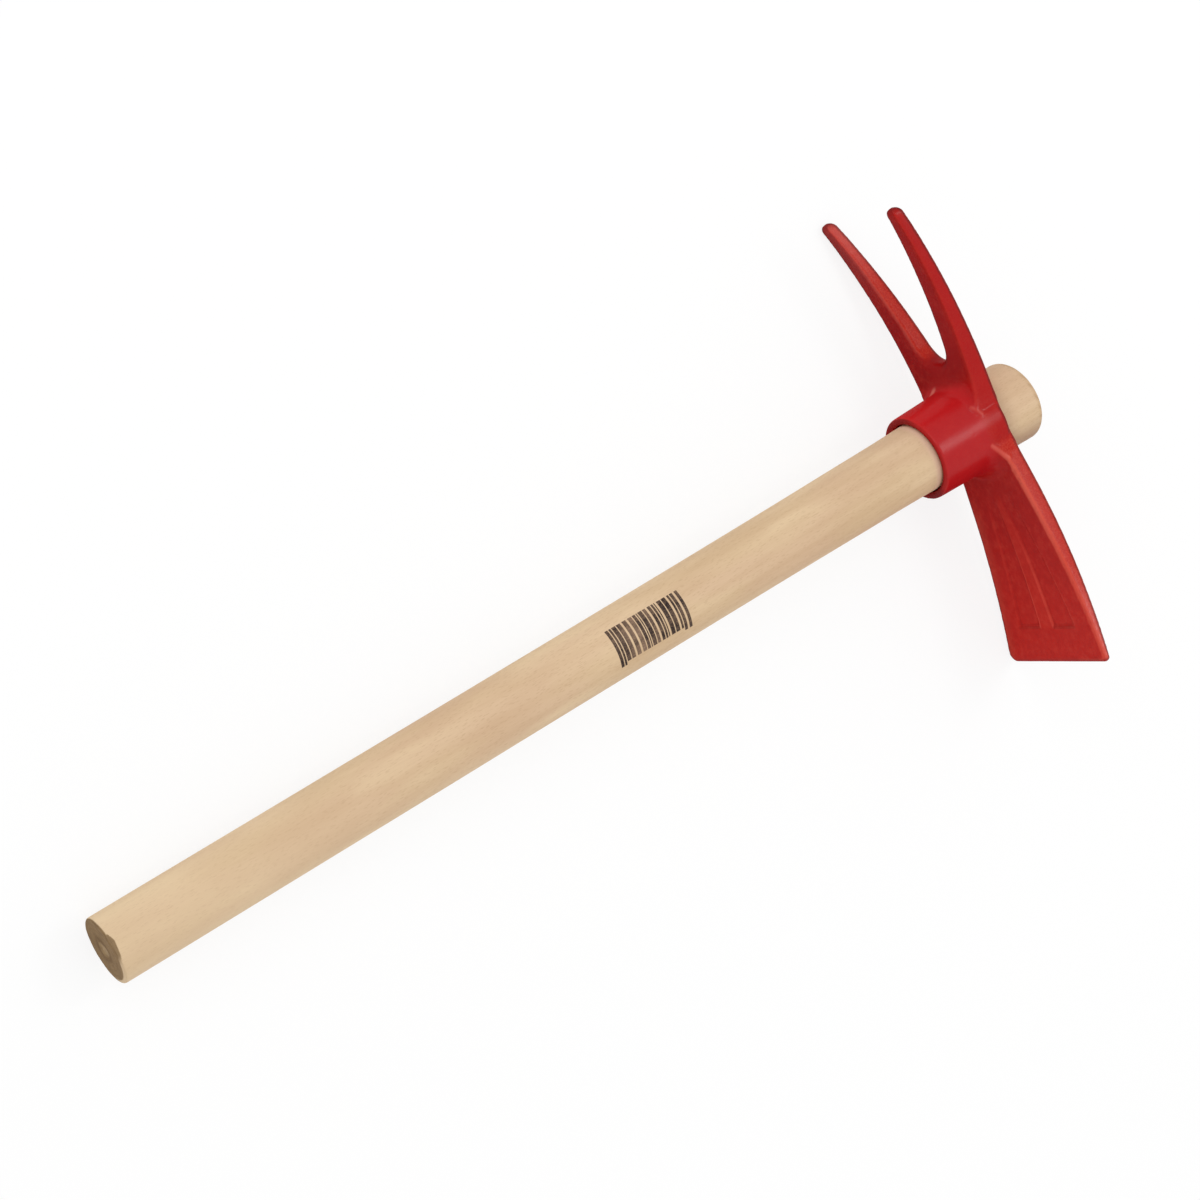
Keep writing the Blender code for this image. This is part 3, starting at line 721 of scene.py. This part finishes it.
head = run_tree("painted_head", skin, dip_tree, {
    "Softening": 2, "Coat": 0.00042, "Unevenness": 0.00010, "Pitting": 0.00005, "Edge Reach": 4,
    "Blade Toe Root": (0.4719, -0.0170, 0.0203), "Blade Toe Tip": (0.4662, -0.0083, 0.0201),
    "Tine Toe Root": (0.4650, 0.0118, 0.0185), "Tine Toe Tip": (0.4678, 0.0073, 0.0203),
    "Toe Height": 0.00035, "Material": paint})
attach(head, "root")
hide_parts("head")

# Floor: a plain white sheet under the three points on which the tool rests. They are the
# corners of the face of the tool's hull that lies under its point of balance.
BALANCE = Vector((0.41, -0.005, 0.0))
FLOOR_HALF = 4.0
FACES_DOWN = -0.5
hull = bmesh.new()
for piece in (handle, head):
    for vertex in piece.data.vertices:
        if vertex.co.z < 0:
            hull.verts.new(vertex.co)
hull_faces = bmesh.ops.convex_hull(hull, input=hull.verts)["geom"]
for face in hull_faces:
    if isinstance(face, bmesh.types.BMFace) and face.normal.z < FACES_DOWN:
        corners = [vertex.co.copy() for vertex in face.verts]
        turns = []
        for i in range(3):
            side = corners[(i + 1) % 3].xy - corners[i].xy
            inwards = BALANCE.xy - corners[i].xy
            turns.append(side.x * inwards.y - side.y * inwards.x)
        if min(turns) > 0 or max(turns) < 0:
            rest_point = sum(corners, Vector()) / 3
            rest_up = -face.normal.copy()
hull.free()
floor_mesh = bpy.data.meshes.new("floor")
floor_mesh.from_pydata([(-FLOOR_HALF, -FLOOR_HALF, 0), (FLOOR_HALF, -FLOOR_HALF, 0),
                        (FLOOR_HALF, FLOOR_HALF, 0), (-FLOOR_HALF, FLOOR_HALF, 0)],
                       [], [(0, 1, 2, 3)])
floor = bpy.data.objects.new("floor", floor_mesh)
scene.collection.objects.link(floor)
floor.matrix_world = Matrix.Translation(rest_point) @ \
    rest_up.to_track_quat("Z", "Y").to_matrix().to_4x4()

# White sheet: four fifths of what the camera sees of it is plain white, and the rest keeps
# the tool's shadow. It throws no more light on the tool than white paper does.
white, shader, spot = finish_named("white_sheet")
shader.inputs["Base Color"].default_value = seen(250, 250, 250)
shader.inputs["Roughness"].default_value = 0.9
shader.inputs["Specular IOR Level"].default_value = 0.0
direct = spot.node("ShaderNodeLightPath", {}, {}, "Is Camera Ray")
backlit = spot.node("ShaderNodeEmission", {}, {"Color": (1.0, 1.0, 1.0, 1.0), "Strength": 1.03})
paper = Socket(spot.tree, shader.outputs["BSDF"])
sheet = spot.node("ShaderNodeMixShader", {}, {0: direct * 0.80, 1: paper, 2: backlit})
sheet.feed(spot.tree.nodes["Material Output"].inputs["Surface"])
floor.data.materials.append(white)

# Studio: an even pale room that the camera sees as white, a small key lamp above and beyond
# the head, and a larger, softer fill lamp above the butt and off to the tines' side.
ROOM_LIGHT = 0.77
world = bpy.data.worlds.new("studio")
scene.world = world
world.use_nodes = True
rays = world.node_tree.nodes.new("ShaderNodeLightPath")
direct = Socket(world.node_tree, rays.outputs["Is Camera Ray"])
background = world.node_tree.nodes["Background"]
background.inputs["Color"].default_value = (1.0, 1.0, 1.0, 1.0)
(direct * (1.0 - ROOM_LIGHT) + ROOM_LIGHT).feed(background.inputs["Strength"])


def soft_lamp(name, place, target, size, power):
    """A square lamp at a place, turned to a target."""
    lamp_data = bpy.data.lights.new(name, "AREA")
    lamp_data.shape = "SQUARE"
    lamp_data.size = size
    lamp_data.energy = power
    lamp = bpy.data.objects.new(name, lamp_data)
    scene.collection.objects.link(lamp)
    towards = Vector(target) - Vector(place)
    lamp.matrix_world = Matrix.Translation(place) @ \
        towards.to_track_quat("-Z", "Y").to_matrix().to_4x4()


soft_lamp("key_lamp", place=(1.04, 0.05, 1.12), target=(0.45, 0.0, 0.0), size=0.36, power=1.9)
soft_lamp("fill_lamp", place=(0.00, 0.90, 1.20), target=(0.30, 0.0, 0.0), size=1.00, power=2.6)

# Camera: a long lens above and behind the butt, looking down along the handle towards the
# head. Its right-hand and backward directions are the view's own, squared to each other.
CAMERA_PLACE = (-0.2556, 0.2688, 1.0603)
CAMERA_RIGHT = (0.776, -0.415, 0.476)
CAMERA_BACK = (-0.429, 0.207, 0.880)
right = Vector(CAMERA_RIGHT).normalized()
back = Vector(CAMERA_BACK).normalized()
up = back.cross(right).normalized()
right = up.cross(back)
camera_data = bpy.data.cameras.new("camera")
camera_data.sensor_width = 36.0
camera_data.lens = 83.75
camera_data.clip_start = 0.01
camera = bpy.data.objects.new("camera", camera_data)
scene.collection.objects.link(camera)
camera.matrix_world = Matrix.Translation(CAMERA_PLACE) @ \
    Matrix((right, up, back)).transposed().to_4x4()
scene.camera = camera
